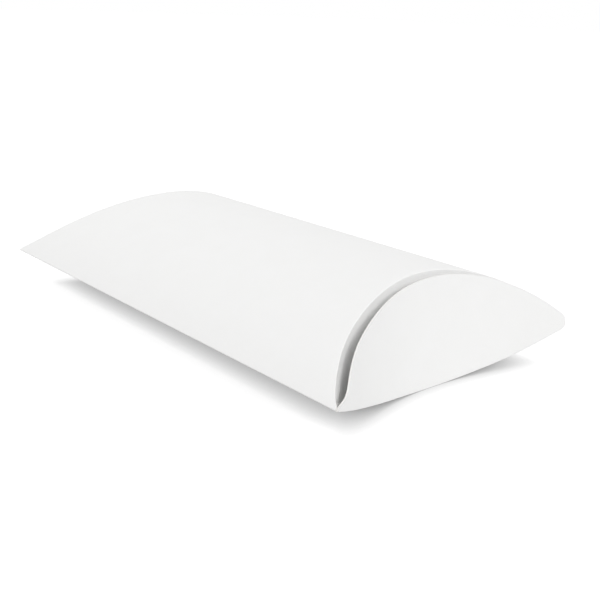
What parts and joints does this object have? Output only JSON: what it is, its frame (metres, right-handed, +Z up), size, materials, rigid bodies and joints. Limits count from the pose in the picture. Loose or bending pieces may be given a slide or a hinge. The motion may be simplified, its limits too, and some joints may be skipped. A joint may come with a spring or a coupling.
{
  "type": "pillow box",
  "caption": "Plain white pillow box folded from thin paperboard, with bowed panels and curved tuck flaps that close both ends",
  "frame": {"origin": "on the floor under the middle of the closed box", "axes": "+X runs from end to end, towards the end that the picture shows; +Y runs across the box, away from the near side fold; +Z is up"},
  "size_m": [0.1588, 0.098, 0.0308],
  "materials": {
    "board": "white coated paperboard, matt with a faint sheen",
    "crease": "pressed fold of the same white paperboard",
    "glue": "dried white carton glue"
  },
  "bodies": {
    "sleeve": {"top_panel": "board", "bottom_panel": "board", "glue_tab": "board", "glue_line": "glue", "side_crease": "crease", "tab_crease": "crease", "right_outer_crease": "crease", "right_inner_crease": "crease", "left_outer_crease": "crease", "left_inner_crease": "crease"},
    "right_outer": {"right_outer_flap": "board"},
    "right_inner": {"right_inner_flap": "board"},
    "left_outer": {"left_outer_flap": "board"},
    "left_inner": {"left_inner_flap": "board"}
  },
  "joints": [
    {"name": "right_outer_hinge", "type": "hinge", "parent": "sleeve", "child": "right_outer", "pos_m": [0.0683, 0, 0], "axis": [0, 1, 0], "range_deg": [0, 96]},
    {"name": "right_inner_hinge", "type": "hinge", "parent": "sleeve", "child": "right_inner", "pos_m": [0.0609, 0, 0.0308], "axis": [0, -1, 0], "range_deg": [0, 90]},
    {"name": "left_outer_hinge", "type": "hinge", "parent": "sleeve", "child": "left_outer", "pos_m": [-0.0683, 0, 0], "axis": [0, -1, 0], "range_deg": [0, 96]},
    {"name": "left_inner_hinge", "type": "hinge", "parent": "sleeve", "child": "left_inner", "pos_m": [-0.0609, 0, 0.0308], "axis": [0, 1, 0], "range_deg": [0, 90]}
  ],
  "couplings": [
    {"joint": "right_inner_hinge", "follows": "right_outer_hinge", "ratio": 0.9375},
    {"joint": "left_inner_hinge", "follows": "left_outer_hinge", "ratio": 0.9375}
  ]
}
